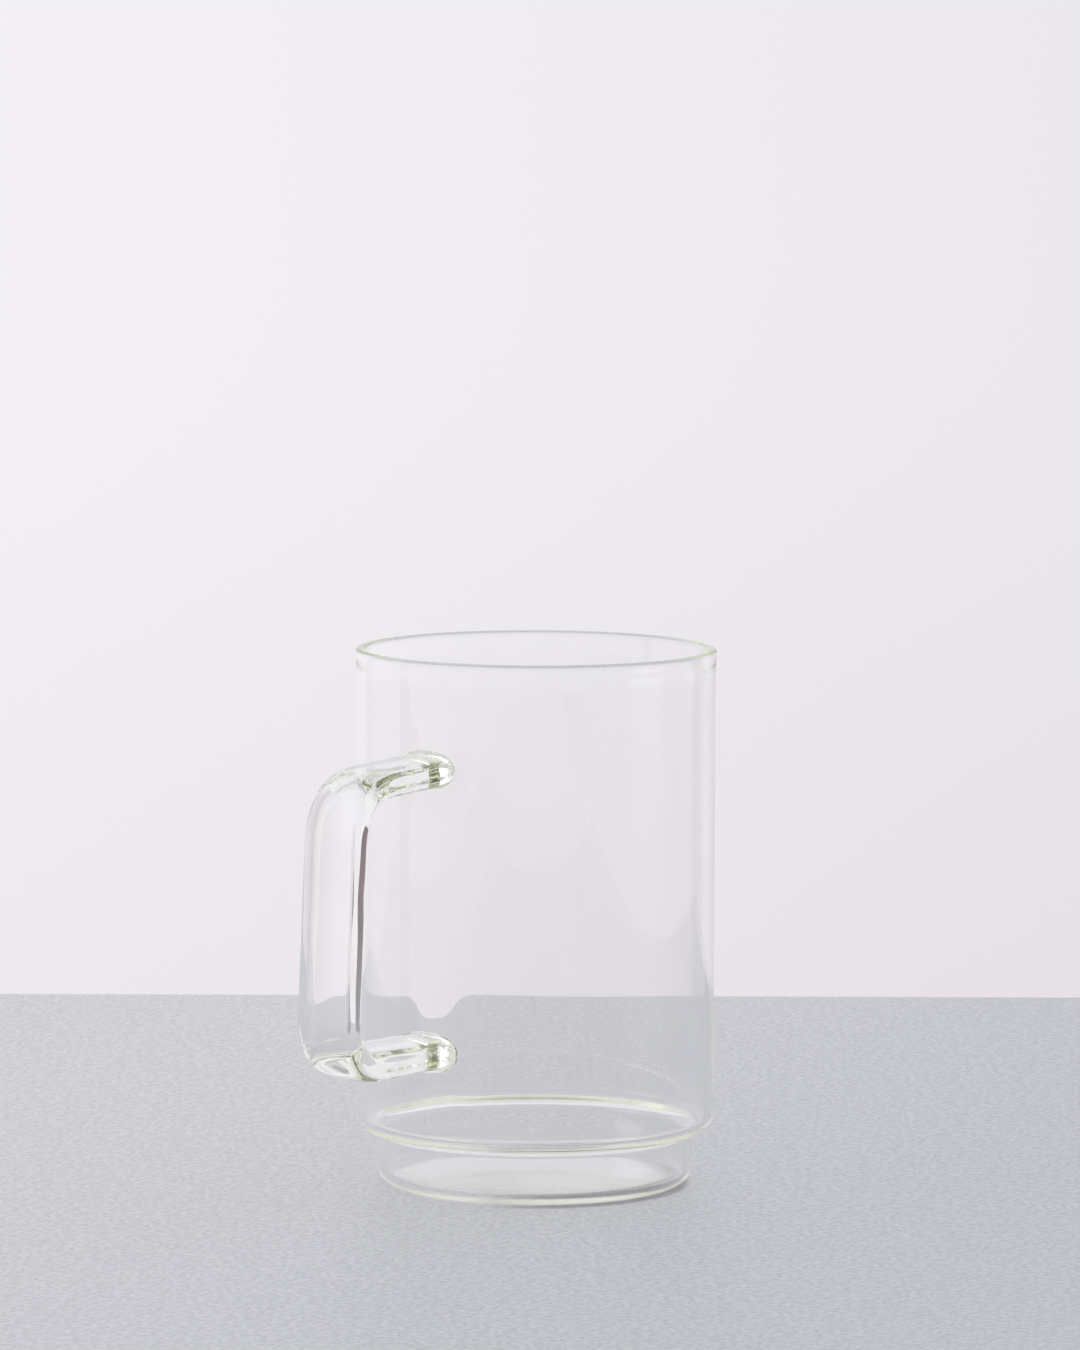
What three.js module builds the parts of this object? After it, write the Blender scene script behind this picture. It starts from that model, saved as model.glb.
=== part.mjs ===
// Stacking glass mug: a straight barrel with a fire-polished rim, a stepped foot that nests in the mouth of
// another mug, and a flat strap handle that two flared welds join to the barrel.
// Millimetres, +Z up. The barrel's axis is Z, the mug stands on z = 0 and the handle is on the +X side.
import * as THREE from 'three';

// Vessel
const mugHeight = 119.5;
const barrelDiameter = 79.6;
const glassWall = 2;
const rimBulge = 0.2; // how far the melted rim swells past each face of the wall
const rimFade = 5; // height over which the swelling fades into the wall
const lipRise = 0.75; // oval top of the rim above its widest part
const shoulderStep = 4.8; // how far the foot is set in from the barrel
const shoulderHeight = 12.2; // underside of the shoulder above the table
const neckRadius = 1.4; // hollow corner between foot and shoulder
const seamLand = 1.4; // straight collar of the foot cup above the shoulder's rounding
const footCornerRadius = 4;
const floorThickness = 2; // at the floor's edge
const floorCrown = 1.4; // rise of the inside floor at its middle
const leastFillet = 0.2;

// Handle
const strapWidth = 15.4;
const upperThickness = 6.5;
const lowerThickness = 7.1; // the grip thickens towards the lower arm
const strapSquareness = 2.8; // power of the section's superellipse: 2 is an oval, more is squarer
const upperArmBelowRim = 23.7; // middle of the upper arm where it leaves its weld
const upperArmDrop = 1.3; // how far the upper arm falls from its weld to the corner
const lowerArmHeight = 33.9; // middle of the lower arm where it meets its weld
const lowerArmRise = 0.6; // how far the lower arm rises from its weld to the corner
const upperReach = 30.7; // from the barrel to the middle of the strap at the upper corner
const lowerReach = 34.2; // the same at the lower corner: the grip leans out towards the table
const upperBendRadius = 11.8; // middle of the strap
const lowerBendRadius = 8.8;

// Welds
const weldLength = 3.6;
const weldFaceFlare = 1; // spread of a weld above and below the strap
const weldSideFlare = 0.2; // and past its edges
const fitGap = 0.3; // between the barrel and the curved back of a weld

// Fineness of the facets
const turnSegments = 64;
const arcSteps = 2;
const sectionPoints = 24;
const bendSteps = 8;
const flareSteps = 5;
const backRingShare = 0.5; // size of the inner ring of points on a weld's back

const barrelRadius = barrelDiameter / 2;
const footRadius = barrelRadius - shoulderStep;
const shoulderRadius = shoulderStep - neckRadius;
const shoulderTop = shoulderHeight + shoulderRadius;
const seamHeight = shoulderTop + seamLand;
const weldBackRadius = barrelRadius + fitGap;
const armStart = weldBackRadius + weldLength;
const upperArmHeight = mugHeight - upperArmBelowRim;
const quarter = Math.PI / 2;

const glass = new THREE.MeshStandardMaterial({
  color: 0xe8eee9,
  roughness: 0.04,
  metalness: 0,
  transparent: true,
  opacity: 0.35,
});

function addPiece(group, name, geometry) {
  const mesh = new THREE.Mesh(geometry, glass.clone());
  mesh.name = name;
  group.add(mesh);
}

// Turns a profile, given as radius and height, about the Z axis.
function revolve(profile) {
  const geometry = new THREE.LatheGeometry(profile.getPoints(arcSteps), turnSegments);
  geometry.rotateX(quarter);
  return geometry;
}

// Barrel: up the outside, over the rounded rim, down the inside, and along the seam to where it began.
function barrelProfile() {
  const inner = barrelRadius - glassWall;
  const lipRadius = glassWall / 2 + rimBulge;
  const lipMiddle = barrelRadius - glassWall / 2;
  const lipHeight = mugHeight - lipRise;
  const fadeStart = lipHeight - rimFade;
  const fadeMiddle = (fadeStart + lipHeight) / 2;
  const profile = new THREE.Path();
  profile.moveTo(barrelRadius, seamHeight);
  profile.lineTo(barrelRadius, fadeStart);
  profile.bezierCurveTo(
    barrelRadius, fadeMiddle,
    barrelRadius + rimBulge, fadeMiddle,
    barrelRadius + rimBulge, lipHeight,
  );
  profile.absellipse(lipMiddle, lipHeight, lipRadius, lipRise, 0, quarter, false);
  profile.absellipse(lipMiddle, lipHeight, lipRadius, lipRise, quarter, Math.PI, false);
  profile.bezierCurveTo(inner - rimBulge, fadeMiddle, inner, fadeMiddle, inner, fadeStart);
  profile.lineTo(inner, seamHeight);
  profile.lineTo(barrelRadius, seamHeight);
  return profile;
}

// Foot cup: from the middle of the base out, up the outside over the shoulder, across the seam, and back down
// the inside to the crown of the floor. The inside wall runs parallel to the outside, one wall away.
function footProfile() {
  const innerFoot = footRadius - glassWall;
  const innerCorner = Math.max(footCornerRadius - glassWall, leastFillet);
  const floorEdge = innerFoot - innerCorner;
  const crownHeight = floorThickness + floorCrown;
  const innerShoulder = Math.max(shoulderRadius - glassWall, leastFillet);
  const neckCentre = footRadius + neckRadius;
  const neckHeight = shoulderHeight - neckRadius;
  const ledgeHeight = shoulderHeight + glassWall;
  const innerBarrel = barrelRadius - glassWall;
  const profile = new THREE.Path();
  profile.moveTo(0, 0);
  profile.lineTo(footRadius - footCornerRadius, 0);
  profile.absarc(footRadius - footCornerRadius, footCornerRadius, footCornerRadius, -quarter, 0, false);
  profile.lineTo(footRadius, neckHeight);
  profile.absarc(neckCentre, neckHeight, neckRadius, Math.PI, quarter, true);
  profile.absarc(neckCentre, shoulderTop, shoulderRadius, -quarter, 0, false);
  profile.lineTo(barrelRadius, seamHeight);
  profile.lineTo(innerBarrel, seamHeight);
  profile.absarc(innerBarrel - innerShoulder, ledgeHeight + innerShoulder, innerShoulder, 0, -quarter, true);
  profile.absarc(neckCentre, neckHeight, neckRadius + glassWall, quarter, Math.PI, false);
  profile.absarc(floorEdge, floorThickness + innerCorner, innerCorner, 0, -quarter, true);
  profile.quadraticCurveTo(floorEdge / 2, crownHeight, 0, crownHeight);
  return profile;
}

// Outline of the strap: across is Y, through is the strap's thickness. A spread of 1 is a weld's full flare.
function strapSection(thickness, spread) {
  const halfWidth = strapWidth / 2 + weldSideFlare * spread;
  const halfThickness = thickness / 2 + weldFaceFlare * spread;
  const power = 2 / strapSquareness;
  return Array.from({ length: sectionPoints }, (_, i) => {
    const angle = (2 * Math.PI * i) / sectionPoints;
    const c = Math.cos(angle);
    const s = Math.sin(angle);
    return {
      across: halfWidth * Math.sign(c) * Math.abs(c) ** power,
      through: halfThickness * Math.sign(s) * Math.abs(s) ** power,
    };
  });
}

// Skins a row of rings of equal length and closes both ends on their middle points.
function loft(rings, firstMiddle, lastMiddle) {
  const count = rings[0].length;
  const points = [...rings.flat(), firstMiddle, lastMiddle];
  const first = rings.length * count;
  const last = first + 1;
  const faces = [];
  for (let i = 0; i < count; i += 1) {
    const next = (i + 1) % count;
    for (let ring = 0; ring + 1 < rings.length; ring += 1) {
      const here = ring * count;
      const there = here + count;
      faces.push(here + i, here + next, there + next);
      faces.push(here + i, there + next, there + i);
    }
    const end = (rings.length - 1) * count;
    faces.push(first, next, i);
    faces.push(last, end + i, end + next);
  }
  const geometry = new THREE.BufferGeometry();
  geometry.setFromPoints(points);
  geometry.setIndex(faces);
  geometry.computeVertexNormals();
  return geometry;
}

// One bend of the strap: stations, each a point and a direction in the XZ plane, round a rounded corner.
function bend(before, corner, after, radius) {
  const inwards = corner.clone().sub(before).normalize();
  const outwards = after.clone().sub(corner).normalize();
  const turn = inwards.angleTo(outwards);
  const setback = radius * Math.tan(turn / 2);
  const start = corner.clone().addScaledVector(inwards, -setback);
  const side = new THREE.Vector2(inwards.y, -inwards.x);
  const centre = start.clone().addScaledVector(side, radius);
  return Array.from({ length: bendSteps + 1 }, (_, i) => {
    const angle = (-turn * i) / bendSteps;
    return {
      point: start.clone().rotateAround(centre, angle),
      direction: inwards.clone().rotateAround(new THREE.Vector2(), angle),
    };
  });
}

// Handle: the strap's section carried along upper arm, bend, leaning grip, bend and lower arm.
function handleGeometry() {
  const upperEnd = new THREE.Vector2(armStart, upperArmHeight);
  const upperCorner = new THREE.Vector2(barrelRadius + upperReach, upperArmHeight - upperArmDrop);
  const lowerCorner = new THREE.Vector2(barrelRadius + lowerReach, lowerArmHeight + lowerArmRise);
  const lowerEnd = new THREE.Vector2(armStart, lowerArmHeight);
  const ring = (thickness) => ({ point, direction }) => (
    strapSection(thickness, 0).map(({ across, through }) => (
      new THREE.Vector3(point.x - direction.y * through, across, point.y + direction.x * through)
    ))
  );
  const upperStations = [
    { point: upperEnd, direction: new THREE.Vector2(1, 0) },
    ...bend(upperEnd, upperCorner, lowerCorner, upperBendRadius),
  ];
  const lowerStations = [
    ...bend(upperCorner, lowerCorner, lowerEnd, lowerBendRadius),
    { point: lowerEnd, direction: new THREE.Vector2(-1, 0) },
  ];
  const rings = [...upperStations.map(ring(upperThickness)), ...lowerStations.map(ring(lowerThickness))];
  const middle = ({ x, y }) => new THREE.Vector3(x, 0, y);
  return loft(rings, middle(upperEnd), middle(lowerEnd));
}

// Weld: starts on a patch of the barrel's curve and draws in, like a fillet, to the strap's own section.
function weldGeometry(height, thickness) {
  const onBarrel = (across) => Math.sqrt(weldBackRadius ** 2 - across ** 2);
  const back = (share) => strapSection(thickness, 1).map(({ across, through }) => (
    new THREE.Vector3(onBarrel(across * share), across * share, height + through * share)
  ));
  const flared = Array.from({ length: flareSteps }, (_, i) => {
    const along = (i + 1) / flareSteps;
    const spread = 1 - Math.sqrt(1 - (1 - along) ** 2);
    return strapSection(thickness, spread).map(({ across, through }) => {
      const wall = onBarrel(across);
      return new THREE.Vector3(wall + (armStart - wall) * along, across, height + through);
    });
  });
  const rings = [back(backRingShare), back(1), ...flared];
  const firstMiddle = new THREE.Vector3(weldBackRadius, 0, height);
  const lastMiddle = new THREE.Vector3(armStart, 0, height);
  return loft(rings, firstMiddle, lastMiddle);
}

const mug = new THREE.Group();
addPiece(mug, 'barrel', revolve(barrelProfile()));
addPiece(mug, 'foot_cup', revolve(footProfile()));
addPiece(mug, 'handle', handleGeometry());
addPiece(mug, 'upper_weld', weldGeometry(upperArmHeight, upperThickness));
addPiece(mug, 'lower_weld', weldGeometry(lowerArmHeight, lowerThickness));

export default mug;
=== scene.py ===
import math

import bpy
import numpy as np
from mathutils import Matrix, Vector


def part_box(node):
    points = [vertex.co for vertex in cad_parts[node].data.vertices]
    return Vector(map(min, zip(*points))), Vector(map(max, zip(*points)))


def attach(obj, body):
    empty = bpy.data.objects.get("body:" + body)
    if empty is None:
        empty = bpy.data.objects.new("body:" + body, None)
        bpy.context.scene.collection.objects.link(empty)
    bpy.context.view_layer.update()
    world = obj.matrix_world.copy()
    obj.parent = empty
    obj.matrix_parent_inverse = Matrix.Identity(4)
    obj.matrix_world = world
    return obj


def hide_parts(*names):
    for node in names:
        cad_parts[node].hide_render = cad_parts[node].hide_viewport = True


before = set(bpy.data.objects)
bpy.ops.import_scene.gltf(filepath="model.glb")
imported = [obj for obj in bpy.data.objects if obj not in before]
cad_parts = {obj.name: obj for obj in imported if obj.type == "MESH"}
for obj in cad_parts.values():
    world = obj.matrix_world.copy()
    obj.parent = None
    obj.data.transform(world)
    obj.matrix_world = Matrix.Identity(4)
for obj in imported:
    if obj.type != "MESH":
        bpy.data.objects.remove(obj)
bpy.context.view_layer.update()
print("frame loaded:", ", ".join(sorted(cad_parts)))


# Points and meshes

def arc(centreR, centreZ, radius, startDeg, endDeg, count, rise=None):
    # points (r, z) at equal angles round a centre, from startDeg to endDeg; a rise makes the arc oval
    a = np.radians(np.linspace(startDeg, endDeg, count))
    return np.stack([centreR + radius * np.cos(a), centreZ + (rise or radius) * np.sin(a)], -1)


def line(start, end, count):
    # points at equal steps from start to end
    t = np.linspace(0.0, 1.0, count)[:, None]
    return np.asarray(start) * (1 - t) + np.asarray(end) * t


def swell(start, end, count):
    # an S-shaped curve (r, z): leaves start and reaches end upright, the middle pulls are at half height
    t = np.linspace(0.0, 1.0, count)[:, None]
    half = (start[1] + end[1]) / 2
    pulls = np.array([start, (start[0], half), (end[0], half), end])
    return ((1 - t) ** 3 * pulls[0] + 3 * (1 - t) ** 2 * t * pulls[1]
            + 3 * (1 - t) * t ** 2 * pulls[2] + t ** 3 * pulls[3])


def joined(parts, nearest=1e-7):
    # one row of points, without the repeats where two stretches meet
    rows = np.concatenate(parts)
    keep = np.r_[True, np.linalg.norm(np.diff(rows, axis=0), axis=1) > nearest]
    return rows[keep]


def share(value, start, length):
    # how far a value is through a stretch, from 0 to 1; a negative length counts downwards
    return np.clip((value - start) / length, 0, 1)


def smooth(t):
    # S-shaped step from 0 to 1: t squared times (3 - 2 t)
    return t ** 2 * (3 - 2 * t)


def addMesh(name, points, faces):
    # a mesh object in the scene, from points and faces
    mesh = bpy.data.meshes.new(name)
    mesh.from_pydata(points.tolist(), [], faces)
    mesh.update()
    piece = bpy.data.objects.new(name, mesh)
    bpy.context.scene.collection.objects.link(piece)
    return piece


def gridFaces(rows, columns):
    # quads between neighbouring rows of a grid that closes round its columns
    i, j = np.meshgrid(np.arange(rows - 1), np.arange(columns), indexing="ij")
    k = (j + 1) % columns
    here, there = i * columns, (i + 1) * columns
    return np.stack([here + j, here + k, there + k, there + j], -1).reshape(-1, 4)


def closedMesh(name, grid, firstPole, lastPole):
    # a grid of rings (rows, columns, xyz) skinned into a closed surface, with a fan of triangles to
    # each pole
    rows, columns = grid.shape[:2]
    points = np.concatenate([grid.reshape(-1, 3), [firstPole], [lastPole]])
    j = np.arange(columns)
    k = (j + 1) % columns
    first, last, end = rows * columns, rows * columns + 1, (rows - 1) * columns
    firstFan = np.stack([np.full(columns, first), k, j], -1)
    lastFan = np.stack([np.full(columns, last), end + j, end + k], -1)
    faces = gridFaces(rows, columns).tolist() + firstFan.tolist() + lastFan.tolist()
    piece = addMesh(name, points, faces)
    piece.data.polygons.foreach_set("use_smooth", np.ones(len(faces), bool))
    piece.data.update()
    return piece


# Vessel: barrel and stepped foot as one body of glass

vesselShape = {
    "wall": 0.0020,
    "rimBulge": 0.0002,  # the melted lip stands this far proud of each face of the wall
    "rimFade": 0.0050,
    "lipRise": 0.00075,  # oval top of the rim above its widest part
    "footRadius": 0.0350,
    "shoulderHeight": 0.0122,
    "neckRadius": 0.0014,
    "footCorner": 0.0040,
    "floor": 0.0020,  # at its edge
    "floorCrown": 0.0014,  # rise of the inside floor at its middle
    "columns": 256,
    "rowStep": 0.0015,  # between rows on the straight walls
    "poleRing": 0.0020,  # radius of the first and the last ring
    "wave": 0.000022,  # drawn tube is never quite even
    # size, turns, drift and share of the phase of each wave
    "waves": ((0.45, 2, 38, 1.0), (0.3, 3, -74, 1.7), (0.25, 5, 121, 2.3)),
    "wavePhases": (0.6, 2.9),  # outside and inside
    "waveStart": (0.017, 0.012),  # height where the unevenness begins, and how far it takes to grow
    "waveEnd": (0.004, 0.010),  # the same, down from the rim
    "dimple": 0.00034,  # the wall is thinner round a weld, where the heat drew it
    "dimpleSpread": (0.0050, 0.0056),  # across and up
    "dimpleShift": (0.0022, 0.0012),
}

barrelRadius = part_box("foot_cup")[1][1]
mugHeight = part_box("barrel")[1][2]
upperWeldZ = sum(corner[2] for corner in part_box("upper_weld")) / 2
lowerWeldZ = sum(corner[2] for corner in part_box("lower_weld")) / 2


def floorLine(s, edge):
    # (r, z) of the inside floor from its edge inwards: a parabola for the crown
    r = np.linspace(edge, s["poleRing"], 40)
    return np.stack([r, s["floor"] + s["floorCrown"] * (1 - (r / edge) ** 2)], -1)


def vesselProfile(s):
    # (r, z) from the middle of the base, out and up the outside, over the lip and down the inside to the
    # floor; the second array is 1 on the outside and -1 on the inside
    wall, bulge, corner, neck = s["wall"], s["rimBulge"], s["footCorner"], s["neckRadius"]
    foot, shoulder = s["footRadius"], s["shoulderHeight"]
    outer, inner = barrelRadius, barrelRadius - wall
    bend = outer - foot - neck
    lip = wall / 2 + bulge
    lipZ = mugHeight - s["lipRise"]
    fadeZ = lipZ - s["rimFade"]
    topZ = shoulder + bend
    rows = int((fadeZ - topZ) / s["rowStep"])
    innerCorner, innerBend = corner - wall, bend - wall
    ledge = shoulder + wall
    outside = joined([
        line((s["poleRing"], 0), (foot - corner, 0), 14),
        arc(foot - corner, corner, corner, -90, 0, 16),
        line((foot, corner), (foot, shoulder - neck), 8),
        arc(foot + neck, shoulder - neck, neck, 180, 90, 12),
        arc(foot + neck, topZ, bend, -90, 0, 16),
        line((outer, topZ), (outer, fadeZ), rows),
        swell((outer, fadeZ), (outer + bulge, lipZ), 10),
        arc(outer - wall / 2, lipZ, lip, 0, 90, 14, s["lipRise"]),
    ])
    inside = joined([
        arc(outer - wall / 2, lipZ, lip, 90, 180, 14, s["lipRise"])[1:],
        swell((inner - bulge, lipZ), (inner, fadeZ), 10),
        line((inner, fadeZ), (inner, ledge + innerBend), rows),
        arc(inner - innerBend, ledge + innerBend, innerBend, 0, -90, 10),
        arc(foot + neck, shoulder - neck, neck + wall, 90, 180, 14),
        line((foot - wall, shoulder - neck), (foot - wall, s["floor"] + innerCorner), 6),
        arc(foot - wall - innerCorner, s["floor"] + innerCorner, innerCorner, 0, -90, 12),
        floorLine(s, foot - wall - innerCorner),
    ])
    side = np.r_[np.ones(len(outside)), -np.ones(len(inside))]
    return np.concatenate([outside, inside]), side


def tubeWave(s, turn, height, phase):
    # a sum of slow waves round and along the tube, between about -1 and 1
    return sum(size * np.sin(turns * turn + drift * height + lag * phase)
               for size, turns, drift, lag in s["waves"])


def vesselGrid(s):
    # the profile turned about Z; radii take the tube's wave and a hollow round each weld on the inside
    profile, side = vesselProfile(s)
    turn = np.linspace(0, 2 * np.pi, s["columns"], endpoint=False)[None, :]
    r, z, side = profile[:, :1], profile[:, 1:], side[:, None]
    endDepth, endLength = s["waveEnd"]
    onWall = share(z, *s["waveStart"]) * share(mugHeight - endDepth - z, 0, endLength)
    onWall = onWall * (r > s["footRadius"])
    outWave, inWave = (tubeWave(s, turn, z, phase) for phase in s["wavePhases"])
    wave = np.where(side > 0, outWave, inWave)
    across = (turn + np.pi) % (2 * np.pi) - np.pi
    spread, shift = s["dimpleSpread"], s["dimpleShift"]
    hollow = sum(np.exp(-(((across * r - shift[0]) / spread[0]) ** 4
                          + ((z - weldZ - shift[1]) / spread[1]) ** 2) / 2)
                 for weldZ in (upperWeldZ, lowerWeldZ))
    r = r + onWall * (s["wave"] * wave + np.where(side < 0, s["dimple"] * hollow, 0.0))
    return np.stack([r * np.cos(turn), r * np.sin(turn), z + 0 * turn], -1)


vesselFloor = vesselShape["floor"] + vesselShape["floorCrown"]
vessel = closedMesh("vessel", vesselGrid(vesselShape), (0, 0, 0), (0, 0, vesselFloor))
print("vessel:", len(vessel.data.polygons), "faces")


# Handle: flat strap bent into a squared C, its ends spread and sunk into the barrel's wall

handleShape = {
    "halfWidth": 0.0077,
    "halfThickness": 0.00325,
    "squareness": 2.8,  # power of the section's superellipse on the grip
    "armSquareness": 3.9,
    "weldSquareness": 2.2,
    "armStart": 0.0437,
    "upperArm": (0.0957, 0.0945),  # height where the arm starts and at its corner
    "lowerArm": (0.0341, 0.0345),
    "upperCorner": 0.0705,
    "lowerCorner": 0.07390,
    "upperBend": 0.0118,
    "lowerBend": 0.0088,
    "bendEase": 0.4,  # 0 is a plain arc, 1 starts and ends each bend with no curve at all
    # each run is a start and a length, as shares of the strap from the upper weld to the lower one
    "armRuns": ((0.22, -0.10), (0.80, 0.08)),  # where the section squares up into the arms
    "lowerSwell": 0.10,  # the lower arm is this much thicker
    "lowerRun": (0.62, 0.18),
    "edgeSwell": 0.10,  # low on the grip one edge is this much thicker and the other thinner
    "edgeRuns": ((0.56, 0.18), (0.96, -0.14)),
    "uneven": ((0.012, 17, 0.4), (0.008, 41, 2.0)),  # size, rate and phase of the waves in its thickness
    "upperWeld": {"z": 0.09585, "halfWidth": 0.0074, "halfHeight": 0.00425},
    "lowerWeld": {"z": 0.0338, "halfWidth": 0.0082, "halfHeight": 0.0046},
    "weldRings": 18,
    "sink": 0.00025,
    "capShares": (0.25, 0.5, 0.75, 0.92),  # sizes of the rings that close each end
    "columns": 96,
    "step": 0.0006,
}


def section(angles, halfWidth, halfThickness, squareness):
    # superellipse: |across / halfWidth| ** n + |through / halfThickness| ** n = 1
    c, q = np.cos(angles), np.sin(angles)
    p = 2 / squareness
    return halfWidth * np.sign(c) * np.abs(c) ** p, halfThickness * np.sign(q) * np.abs(q) ** p


def sectionAngles(s):
    # angles that share the outline of the strap's section into equal lengths
    fine = np.linspace(0, 2 * np.pi, 4001)
    x, y = section(fine, s["halfWidth"], s["halfThickness"], s["squareness"])
    length = np.r_[0, np.cumsum(np.hypot(np.diff(x), np.diff(y)))]
    return np.interp(np.linspace(0, length[-1], s["columns"], endpoint=False), length, fine)


def easedBend(turn, radius, ease, step):
    # a bend in its own frame (along, aside): the direction turns fastest in the middle, by a cosine, and
    # the whole is scaled so that its middle cuts the corner as an arc of the radius would
    t = np.linspace(0, 1, max(16, 2 * int(radius * turn / step)))
    angle = turn * (t - ease * np.sin(2 * np.pi * t) / (2 * np.pi))
    steps = np.stack([np.cos(angle), np.sin(angle)], -1)
    points = np.r_[[(0.0, 0.0)], np.cumsum((steps[1:] + steps[:-1]) / 2, 0)]
    tangent = np.linalg.norm(points[-1]) / (2 * math.cos(turn / 2))
    middle = math.hypot(np.interp(0.5, t, points[:, 0]) - tangent, np.interp(0.5, t, points[:, 1]))
    scale = radius * (1 / math.cos(turn / 2) - 1) / middle
    return points * scale, angle[:, None], tangent * scale


def roundedPath(corners, radii, ease, step):
    # points and directions along straight runs whose corners are eased bends, at about equal steps
    corners = [np.array(c, float) for c in corners]
    points, directions = [], []
    start = corners[0]
    for before, corner, after, radius in zip(corners, corners[1:], corners[2:], radii):
        inwards = (corner - before) / np.linalg.norm(corner - before)
        outwards = (after - corner) / np.linalg.norm(after - corner)
        side = np.array([inwards[1], -inwards[0]])
        bend, angle, tangent = easedBend(math.acos(float(np.dot(inwards, outwards))), radius, ease, step)
        bendStart = corner - inwards * tangent
        count = max(2, int(np.linalg.norm(bendStart - start) / step))
        first = 1 if points else 0  # the last bend already holds this run's first point
        points += [line(start, bendStart, count)[first:-1],
                   bendStart + bend[:, :1] * inwards + bend[:, 1:] * side]
        directions += [np.repeat(inwards[None], count - 1 - first, 0),
                       inwards * np.cos(angle) + side * np.sin(angle)]
        start = points[-1][-1]
    end = corners[-1]
    outwards = (end - start) / np.linalg.norm(end - start)
    count = max(2, int(np.linalg.norm(end - start) / step))
    points.append(line(start, end, count)[1:])
    directions.append(np.repeat(outwards[None], count - 1, 0))
    return np.concatenate(points), np.concatenate(directions)


def strapRing(point, direction, across, through):
    # section laid square to the path in the XZ plane, Y across the strap
    return np.stack([point[..., :1] - direction[..., 1:] * through, across + 0 * through,
                     point[..., 1:] + direction[..., :1] * through], -1)


def weldRows(s, weld, angles, point, direction, halfThickness):
    # blend from a patch that follows the barrel's curve to the strap's first ring; the flare is a quarter
    # of an ellipse
    u = (1 - np.cos(np.linspace(0, np.pi / 2, s["weldRings"])))[:-1, None]
    spread = 1 - np.sqrt(1 - (1 - u) ** 2)
    squareness = s["armSquareness"] + (s["weldSquareness"] - s["armSquareness"]) * (1 - u)
    across, through = section(angles[None, :],
                              s["halfWidth"] + (weld["halfWidth"] - s["halfWidth"]) * spread,
                              halfThickness + (weld["halfHeight"] - halfThickness) * spread, squareness)
    wall = np.sqrt((barrelRadius - s["sink"]) ** 2 - across ** 2)
    onBarrel = np.stack([wall, across, weld["z"] + direction[0] * through], -1)
    onStrap = strapRing(point[None], direction[None], across, through)
    return onBarrel * (1 - u[..., None]) + onStrap * u[..., None]


def handleGrid(s):
    # upper weld, strap and lower weld as one row of rings
    angles = sectionAngles(s)
    corners = [(s["armStart"], s["upperArm"][0]), (s["upperCorner"], s["upperArm"][1]),
               (s["lowerCorner"], s["lowerArm"][1]), (s["armStart"], s["lowerArm"][0])]
    points, directions = roundedPath(corners, [s["upperBend"], s["lowerBend"]], s["bendEase"], s["step"])
    along = np.linspace(0, 1, len(points))[:, None]
    uneven = sum((size * np.sin(rate * along + phase) for size, rate, phase in s["uneven"]), 1)
    thickness = s["halfThickness"] * (1 + s["lowerSwell"] * smooth(share(along, *s["lowerRun"]))) * uneven
    onArm = sum(share(along, *run) for run in s["armRuns"])
    squareness = s["squareness"] + (s["armSquareness"] - s["squareness"]) * smooth(onArm)
    across, through = section(angles[None, :], s["halfWidth"] * (1 + 0 * along), thickness, squareness)
    rise, fall = (share(along, *run) for run in s["edgeRuns"])
    through = through * (1 + s["edgeSwell"] * smooth(rise * fall) * across / s["halfWidth"])
    strap = strapRing(points, directions, across, through)
    upper = weldRows(s, s["upperWeld"], angles, points[0], directions[0], thickness[0, 0])
    lower = weldRows(s, s["lowerWeld"], angles, points[-1], directions[-1], thickness[-1, 0])
    return np.concatenate([upper, strap, lower[::-1]])


def capped(s, grid):
    # smaller rings inside each end, on the barrel's curve, so the sunk ends run parallel to the wall
    def inner(ring, size):
        middle = ring.mean(0)
        y = ring[:, 1] * size
        x = np.sqrt((barrelRadius - s["sink"]) ** 2 - y ** 2)
        return np.stack([x, y, middle[2] + (ring[:, 2] - middle[2]) * size], -1)
    first = [inner(grid[0], size) for size in s["capShares"]]
    last = [inner(grid[-1], size) for size in s["capShares"][::-1]]
    return np.concatenate([first, grid, last])


handleRings = capped(handleShape, handleGrid(handleShape))
poleX = barrelRadius - handleShape["sink"]
handle = closedMesh("strap_handle", handleRings, (poleX, 0, handleRings[0, :, 2].mean()),
                    (poleX, 0, handleRings[-1, :, 2].mean()))
print("handle:", len(handle.data.polygons), "faces")


# Shader nodes

def newMaterial(name):
    # a material with nodes, and its tree
    material = bpy.data.materials.new(name)
    material.use_nodes = True
    return material, material.node_tree


def addNode(tree, kind, **inputs):
    # a node with the named inputs set
    node = tree.nodes.new(kind)
    for name, value in inputs.items():
        node.inputs[name.replace("_", " ")].default_value = value
    return node


def feed(tree, slot, value):
    # links a socket, or sets a plain value
    if isinstance(value, bpy.types.NodeSocket):
        tree.links.new(value, slot)
    else:
        slot.default_value = value


def mathNode(tree, operation, *values):
    # a Math node on sockets or numbers, returns its output
    node = tree.nodes.new("ShaderNodeMath")
    node.operation = operation
    for slot, value in zip(node.inputs, values):
        feed(tree, slot, value)
    return node.outputs["Value"]


def vectorNode(tree, operation, *values):
    # a Vector Math node on sockets or plain vectors, returns the node
    node = tree.nodes.new("ShaderNodeVectorMath")
    node.operation = operation
    for slot, value in zip(node.inputs, values):
        feed(tree, slot, value)
    return node


def dotNode(tree, vector, direction):
    # how far a vector goes along a direction
    plain = tuple(float(v) for v in direction)
    return vectorNode(tree, "DOT_PRODUCT", vector, plain).outputs["Value"]


def lengthNode(tree, vector):
    # length of a vector
    return vectorNode(tree, "LENGTH", vector).outputs["Value"]


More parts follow.
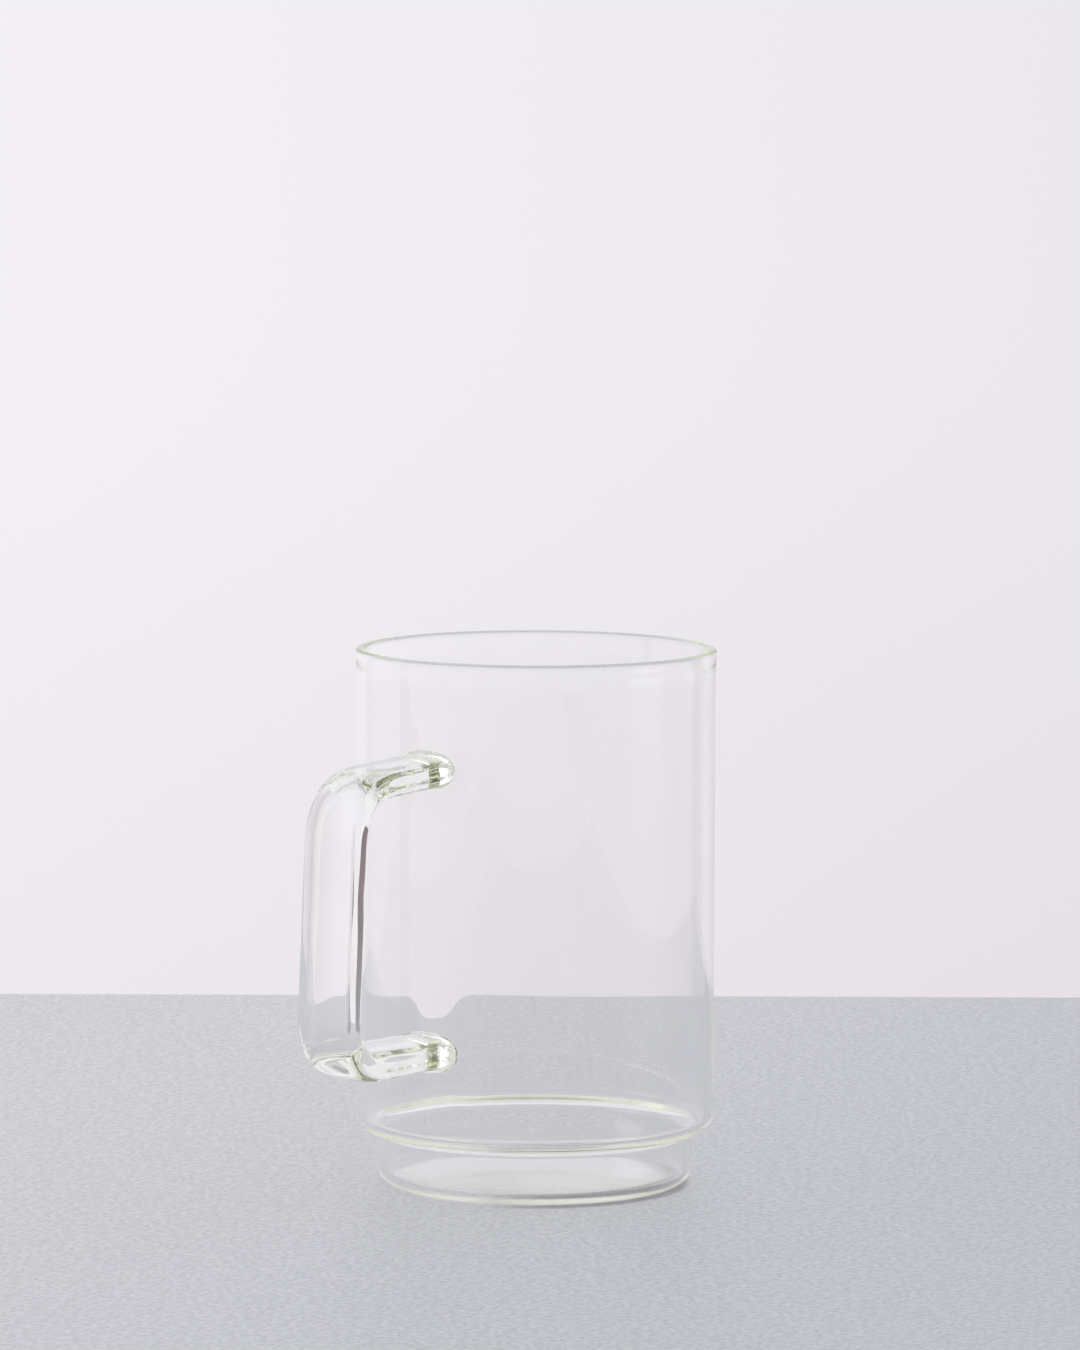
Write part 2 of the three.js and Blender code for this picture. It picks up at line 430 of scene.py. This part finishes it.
def ramp(tree, value, start, end, low=0.0, high=1.0):
    # smooth step of a value from low at start to high at end
    node = addNode(tree, "ShaderNodeMapRange", From_Min=start, From_Max=end, To_Min=low, To_Max=high)
    node.interpolation_type = "SMOOTHSTEP"
    tree.links.new(value, node.inputs["Value"])
    return node.outputs["Result"]


def mixColour(tree, factor, first, second):
    # first where factor is 0, second where it is 1; each is a socket or a colour
    node = tree.nodes.new("ShaderNodeMix")
    node.data_type = "RGBA"
    tree.links.new(factor, node.inputs["Factor"])
    feed(tree, node.inputs["A"], first)
    feed(tree, node.inputs["B"], second)
    return node.outputs["Result"]


def scaleColour(tree, colour, factor):
    # colour times a number
    node = vectorNode(tree, "SCALE", colour)
    tree.links.new(factor, node.inputs["Scale"])
    return node.outputs["Vector"]


# Glass

glassLook = {
    "ior": 1.473,
    "cleanTint": (0.981, 0.981, 0.981, 1),
    "smearTint": (0.970, 0.970, 0.972, 1),
    "smearRange": (0.48, 0.75),  # of the noise that places the smears
    "shadowTint": (0.985, 0.985, 0.983, 1),  # shadows and bounced light pass straight through each face
    "absorbColour": (0.80, 0.90, 0.10, 1),  # one minus each channel, times the density, is lost per metre
    "absorbDensity": 1.5,
    "bumpDepth": 0.0004,
    "vessel": {"drawScale": 26.0, "drawStretch": 0.25, "bump": 0.05, "smear": 0.012,
               "floorHaze": 0.14, "floorHeights": (0.0012, 0.0046)},  # no flame polished the inside floor
    "handle": {"drawScale": 90.0, "drawStretch": 0.6, "bump": 0.10, "smear": 0.010},
}


def fireMarks(s):
    # group: slow ripples left by the flame, and a faint smear mask from handling
    group = bpy.data.node_groups.new("fireMarks", "ShaderNodeTree")
    sockets = (("Position", "INPUT", "Vector"), ("Scale", "INPUT", "Float"), ("Stretch", "INPUT", "Float"),
               ("Smear", "INPUT", "Float"), ("Height", "OUTPUT", "Float"), ("Roughness", "OUTPUT", "Float"),
               ("Tint", "OUTPUT", "Color"))
    for name, way, kind in sockets:
        group.interface.new_socket(name, in_out=way, socket_type="NodeSocket" + kind)
    source = group.nodes.new("NodeGroupInput")
    sink = group.nodes.new("NodeGroupOutput")
    squeeze = addNode(group, "ShaderNodeCombineXYZ", X=1.0, Y=1.0)
    ripple = addNode(group, "ShaderNodeTexNoise", Detail=2.0, Roughness=0.45)
    smear = addNode(group, "ShaderNodeTexNoise", Scale=60.0, Detail=5.0, Roughness=0.62)
    smearStart, smearEnd = s["smearRange"]
    mask = addNode(group, "ShaderNodeMapRange", From_Min=smearStart, From_Max=smearEnd)
    link = group.links.new
    link(source.outputs["Stretch"], squeeze.inputs["Z"])
    stretched = vectorNode(group, "MULTIPLY", source.outputs["Position"], squeeze.outputs["Vector"])
    link(stretched.outputs["Vector"], ripple.inputs["Vector"])
    link(source.outputs["Scale"], ripple.inputs["Scale"])
    link(source.outputs["Position"], smear.inputs["Vector"])
    link(smear.outputs["Fac"], mask.inputs["Value"])
    smeared = mask.outputs["Result"]
    link(ripple.outputs["Fac"], sink.inputs["Height"])
    link(mathNode(group, "MULTIPLY", smeared, source.outputs["Smear"]), sink.inputs["Roughness"])
    link(mixColour(group, smeared, s["cleanTint"], s["smearTint"]), sink.inputs["Tint"])
    return group


fireMarksGroup = fireMarks(glassLook)


def floorMask(tree, place, low, high):
    # 1 where a point is between two heights and within the floor's edge, 0 elsewhere
    flat = vectorNode(tree, "MULTIPLY", place, (1, 1, 0)).outputs["Vector"]
    height = dotNode(tree, place, (0, 0, 1))
    edge = vesselShape["footRadius"] - vesselShape["footCorner"]
    within = mathNode(tree, "LESS_THAN", lengthNode(tree, flat), edge)
    above = mathNode(tree, "GREATER_THAN", height, low)
    below = mathNode(tree, "LESS_THAN", height, high)
    return mathNode(tree, "MULTIPLY", within, mathNode(tree, "MULTIPLY", above, below))


def glassMaterial(name, look):
    # clear glass: full transmission, a ripple bump, a smear in tint and roughness, and a faint green
    # inside; shadow rays and bounced light see a clear pane, so the table under the mug stays bright
    material, tree = newMaterial(name)
    shader = tree.nodes["Principled BSDF"]
    shader.inputs["Transmission Weight"].default_value = 1.0
    shader.inputs["IOR"].default_value = glassLook["ior"]
    marks = tree.nodes.new("ShaderNodeGroup")
    marks.node_tree = fireMarksGroup
    marks.inputs["Scale"].default_value = look["drawScale"]
    marks.inputs["Stretch"].default_value = look["drawStretch"]
    marks.inputs["Smear"].default_value = look["smear"]
    place = tree.nodes.new("ShaderNodeTexCoord").outputs["Object"]
    bump = addNode(tree, "ShaderNodeBump", Strength=look["bump"], Distance=glassLook["bumpDepth"])
    inside = addNode(tree, "ShaderNodeVolumeAbsorption", Color=glassLook["absorbColour"],
                     Density=glassLook["absorbDensity"])
    roughness = marks.outputs["Roughness"]
    if "floorHaze" in look:
        haze = mathNode(tree, "MULTIPLY", floorMask(tree, place, *look["floorHeights"]), look["floorHaze"])
        roughness = mathNode(tree, "ADD", roughness, haze)
    link = tree.links.new
    link(place, marks.inputs["Position"])
    link(marks.outputs["Height"], bump.inputs["Height"])
    link(bump.outputs["Normal"], shader.inputs["Normal"])
    link(roughness, shader.inputs["Roughness"])
    link(marks.outputs["Tint"], shader.inputs["Base Color"])
    clear = addNode(tree, "ShaderNodeBsdfTransparent", Color=glassLook["shadowTint"])
    path = tree.nodes.new("ShaderNodeLightPath")
    surface = shader.outputs["BSDF"]
    for ray in ("Is Shadow Ray", "Is Diffuse Ray"):
        mix = tree.nodes.new("ShaderNodeMixShader")
        link(path.outputs[ray], mix.inputs["Fac"])
        link(surface, mix.inputs[1])
        link(clear.outputs["BSDF"], mix.inputs[2])
        surface = mix.outputs["Shader"]
    output = tree.nodes["Material Output"]
    link(surface, output.inputs["Surface"])
    link(inside.outputs["Volume"], output.inputs["Volume"])
    return material


vessel.data.materials.append(glassMaterial("vesselGlass", glassLook["vessel"]))
handle.data.materials.append(glassMaterial("handleGlass", glassLook["handle"]))

for piece, nodes in ((vessel, ("barrel", "foot_cup")), (handle, ("handle", "upper_weld", "lower_weld"))):
    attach(piece, "root")
    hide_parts(*nodes)
print("glass on both pieces")


# Camera: long lens a little above the rim

cameraPlace = {
    "azimuth": 37.0,  # degrees from +X towards +Y
    "elevation": 5.80,
    "target": (0.0, 0.0, 0.119),
    "distance": 1.659,
    "lens": 200.0,
    "sensor": 36.0,
    "clip": (0.05, 50),
    "focus": 7500.0,  # the lens in pixels of the 1350 pixel side
    "aim": (536.05, 649.6),  # where the target falls in a frame of 1080 by 1350
    "frameMiddle": (540.0, 675.0),
    "roll": 0.2,
}


def placeCamera(s):
    # looks back at the target from azimuth, elevation and distance, then turns so the target falls on aim
    azimuth, elevation, roll = (math.radians(s[k]) for k in ("azimuth", "elevation", "roll"))
    back = Vector((math.cos(azimuth) * math.cos(elevation), math.sin(azimuth) * math.cos(elevation),
                   math.sin(elevation)))
    forward = -back
    right = forward.cross(Vector((0, 0, 1))).normalized()
    up = right.cross(forward)
    yaw = math.atan((s["aim"][0] - s["frameMiddle"][0]) / s["focus"])
    pitch = math.atan((s["aim"][1] - s["frameMiddle"][1]) / s["focus"])
    forward, right = (forward * math.cos(yaw) - right * math.sin(yaw),
                      right * math.cos(yaw) + forward * math.sin(yaw))
    forward, up = (forward * math.cos(pitch) + up * math.sin(pitch),
                   up * math.cos(pitch) - forward * math.sin(pitch))
    right, up = (right * math.cos(roll) + up * math.sin(roll), up * math.cos(roll) - right * math.sin(roll))
    data = bpy.data.cameras.new("camera")
    data.lens = s["lens"]
    data.sensor_width = s["sensor"]
    data.clip_start, data.clip_end = s["clip"]
    camera = bpy.data.objects.new("camera", data)
    bpy.context.scene.collection.objects.link(camera)
    turned = Matrix((right, up, -forward)).transposed().to_4x4()
    camera.matrix_world = Matrix.Translation(Vector(s["target"]) + back * s["distance"]) @ turned
    bpy.context.scene.camera = camera


placeCamera(cameraPlace)
print("camera placed")


# Stage: pale table top that ends behind and beside the mug, and a pale studio all round

stageLook = {
    "back": 0.283,  # from the mug's axis to the table's edges, as the camera sees them
    "front": 0.60,
    "left": 0.32,
    "right": 0.45,
    "thickness": 0.018,
    "edgeRound": 0.001,
    "gap": 0.0002,  # air under the foot
    "roughness": 0.55,
    "tableColour": (0.835, 0.860, 0.878, 1),
    "tableSpeck": (0.645, 0.668, 0.692, 1),
    "speckRange": (0.33, 0.67),  # of the noise that places the specks
    "falloffShadeTint": (0.81, 0.83, 0.85, 1),  # painted shade: the table is painted darker to the right and towards the camera, away from the light on the left
    "falloffShadeRange": (-0.2, 0.2),
    # painted shade: a dark ring under the foot's front right edge, where the foot shades the table
    "paintedContactShade": {"start": (0.0262, 0.0288), "end": (0.0328, 0.0354), "turn": -128, "side": (0.15, 0.8),
                "tint": (0.50, 0.48, 0.49, 1)},
    "paintedGlow": {"fade": (0.0280, 0.0335), "tint": (1.16, 1.135, 1.145, 1)},  # painted light: the table is painted lighter under the foot, for the light the foot focuses there
    "edgeCard": {"start": (0.2228, 0.0124), "end": (0.2330, -0.0209), "height": 0.14,
                 "strap": (0.0374, -0.0625), "shadeFlap": (0.52, 0.26),  # shares of the way to the strap; the flap is a painted shadow of the card on the table
                 # low colours the flap, the painted shadow, and the card's foot; high colours its top
                 "low": (0.36, 0.365, 0.385, 1), "high": (0.20, 0.148, 0.15, 1),
                 "toneHeights": (0.01, 0.075),
                 "depth": 3.0},  # bounces of the light that sees it
}

turned = math.radians(cameraPlace["azimuth"])
away = np.array([-math.cos(turned), -math.sin(turned), 0])
leftward = np.array([math.sin(turned), -math.cos(turned), 0])


def paintedShadeRing(tree, place, s):
    # painted shade where the foot meets the table: a soft ring about the axis, deepest on the side it turns
    # to
    radius = lengthNode(tree, place)
    unit = vectorNode(tree, "NORMALIZE", place).outputs["Vector"]
    turn = math.radians(s["turn"])
    facing = away * math.cos(turn) + leftward * math.sin(turn)
    side = ramp(tree, dotNode(tree, unit, facing), *s["side"])
    ring = mathNode(tree, "MULTIPLY", ramp(tree, radius, *s["start"]),
                    ramp(tree, radius, *s["end"], 1.0, 0.0))
    return mathNode(tree, "MULTIPLY", ring, side)


def paintedGlowMask(tree, place, s):
    # painted light: 1 under the middle of the foot, fading out towards its edge
    return ramp(tree, lengthNode(tree, place), *s["fade"], 1.0, 0.0)


def tableTop(s):
    # a flat slab with small rounded edges, square to the camera
    corners = np.array([away * a + leftward * b for a, b in
                        ((s["back"], s["left"]), (s["back"], -s["right"]),
                         (-s["front"], -s["right"]), (-s["front"], s["left"]))])
    top = corners - (0, 0, s["gap"])
    under = top - (0, 0, s["thickness"])
    faces = [(3, 2, 1, 0), (4, 5, 6, 7)] + [(k, (k + 1) % 4, 4 + (k + 1) % 4, 4 + k) for k in range(4)]
    piece = addMesh("table_top", np.concatenate([top, under]), faces)
    bevel = piece.modifiers.new("rounded", "BEVEL")
    bevel.width = s["edgeRound"]
    bevel.segments = 3
    material, tree = newMaterial("tableLaminate")
    shader = tree.nodes["Principled BSDF"]
    shader.inputs["Roughness"].default_value = s["roughness"]
    place = tree.nodes.new("ShaderNodeTexCoord").outputs["Object"]
    speck = addNode(tree, "ShaderNodeTexNoise", Scale=700.0, Detail=5.0, Roughness=0.6)
    tree.links.new(place, speck.inputs["Vector"])
    grain = mixColour(tree, ramp(tree, speck.outputs["Fac"], *s["speckRange"]), s["tableSpeck"],
                      s["tableColour"])
    # painted shade: darker to the right and towards the camera, away from the light on the left
    far = ramp(tree, dotNode(tree, place, -leftward - away / 3), *s["falloffShadeRange"])
    tint = mixColour(tree, far, (1, 1, 1, 1), s["falloffShadeTint"])
    # painted light under the foot
    tint = mixColour(tree, paintedGlowMask(tree, place, s["paintedGlow"]), tint, s["paintedGlow"]["tint"])
    # painted shade where the foot meets the table
    tint = mixColour(tree, paintedShadeRing(tree, place, s["paintedContactShade"]), tint, s["paintedContactShade"]["tint"])
    shade = vectorNode(tree, "MULTIPLY", grain, tint)
    tree.links.new(shade.outputs["Vector"], shader.inputs["Base Color"])
    piece.data.materials.append(material)
    return piece


def edgeCard(s):
    # a dark card that stands on the table out of the frame, with a flap that lies on the table towards the
    # mug as a painted shadow of the card; only light that has gone straight through the strap sees it, so
    # it draws the strap's edge and nothing else
    strap, *ends = [leftward * left + away * ahead for left, ahead in (s["strap"], s["start"], s["end"])]
    rows = np.array([end + (strap - end) * part + (0, 0, z)
                     for parts, z in (((0, 0), s["height"]), ((0, 0), 0), (s["shadeFlap"], 0))
                     for end, part in zip(ends, parts)])
    piece = addMesh("edge_card", rows, [(0, 1, 3, 2), (2, 3, 5, 4)])
    material, tree = newMaterial("edgeCardPaper")
    place = tree.nodes.new("ShaderNodeTexCoord").outputs["Object"]
    upwards = ramp(tree, dotNode(tree, place, (0, 0, 1)), *s["toneHeights"])
    paper = tree.nodes.new("ShaderNodeEmission")
    clear = tree.nodes.new("ShaderNodeBsdfTransparent")
    mix = tree.nodes.new("ShaderNodeMixShader")
    depth = tree.nodes.new("ShaderNodeLightPath").outputs["Ray Depth"]
    link = tree.links.new
    link(mixColour(tree, upwards, s["low"], s["high"]), paper.inputs["Color"])
    link(mathNode(tree, "COMPARE", depth, s["depth"], 0.5), mix.inputs["Fac"])
    link(clear.outputs["BSDF"], mix.inputs[1])
    link(paper.outputs["Emission"], mix.inputs[2])
    link(mix.outputs["Shader"], tree.nodes["Material Output"].inputs["Surface"])
    piece.data.materials.append(material)
    piece.visible_camera = piece.visible_diffuse = piece.visible_shadow = False
    return piece


tableTop(stageLook)
edgeCard(stageLook["edgeCard"])

# Studio: a pale room, brighter to the left and above, with cards that only the glass and the table see;
# turns are degrees to the left of straight behind the mug, heights are degrees above the horizon
studioLook = {
    "backdrop": (0.873, 0.853, 0.897, 1),
    "lowBackdrop": (0.815, 0.775, 0.812, 1),  # near the table's edge
    "lowRange": (-0.19, -0.05),
    "frontRoom": (0.84, 0.82, 0.84, 1),  # behind the camera
    "frontRange": (-0.4, 0.3),
    "sideGain": (0.93, 1.045),  # right and left of the mug
    "sideTurn": 0.16,
    "insideDepth": 6.5,  # more bounces than this and light sees an inside card
    "cards": [
        {"turn": (-110, -30), "height": (-4, 60), "soft": 14, "colour": (0.95, 0.93, 0.97, 1)},  # pale side
        {"turn": (84, 112), "height": (-6, 34), "soft": 4, "colour": (2.4, 2.4, 2.45, 1),
         "inside": True},  # bright card
        {"turn": (-180, 180), "height": (66, 100), "soft": 8, "colour": (0.49, 0.47, 0.45, 1)},  # dim top
        {"turn": (-17, -9), "height": (-40, 60), "soft": 2, "colour": (0.66, 0.64, 0.67, 1)},  # dim strip
    ],
}


def studioWorld(s):
    # room colour from the ray's height and turn, then each card laid over it by its window of turns and
    # heights; an inside card is only for light that has met many faces of glass, so it adds no plain
    # reflections
    world = bpy.data.worlds.new("studio")
    world.use_nodes = True
    tree = world.node_tree
    ray = tree.nodes.new("ShaderNodeTexCoord").outputs["Generated"]
    ahead, left, up = (dotNode(tree, ray, d) for d in (away, leftward, (0, 0, 1)))
    room = mixColour(tree, ramp(tree, up, *s["lowRange"]), s["lowBackdrop"], s["backdrop"])
    room = scaleColour(tree, room, ramp(tree, left, -s["sideTurn"], s["sideTurn"], *s["sideGain"]))
    room = mixColour(tree, ramp(tree, ahead, *s["frontRange"]), s["frontRoom"], room)
    turn = mathNode(tree, "ARCTAN2", left, ahead)
    height = mathNode(tree, "ARCSINE", up)
    path = tree.nodes.new("ShaderNodeLightPath")
    inside = mathNode(tree, "GREATER_THAN", path.outputs["Ray Depth"], s["insideDepth"])
    lit = room
    for card in s["cards"]:
        mask = None
        soft = math.radians(card["soft"])
        for angle, limits in ((turn, card["turn"]), (height, card["height"])):
            low, high = (math.radians(limit) for limit in limits)
            window = mathNode(tree, "MULTIPLY", ramp(tree, angle, low - soft, low + soft),
                              ramp(tree, angle, high - soft, high + soft, 1.0, 0.0))
            mask = mathNode(tree, "MULTIPLY", mask, window) if mask else window
        if card.get("inside"):
            mask = mathNode(tree, "MULTIPLY", mask, inside)
        lit = mixColour(tree, mask, lit, card["colour"])
    lit = mixColour(tree, path.outputs["Is Camera Ray"], lit, room)
    tree.links.new(lit, tree.nodes["Background"].inputs["Color"])
    bpy.context.scene.world = world


studioWorld(studioLook)
glassBounces = 200  # light runs a long way inside thick glass
scene = bpy.context.scene
scene.view_settings.view_transform = "Standard"
scene.cycles.max_bounces = glassBounces
scene.cycles.transmission_bounces = glassBounces
scene.cycles.glossy_bounces = glassBounces
scene.cycles.transparent_max_bounces = 64
print("stage ready")
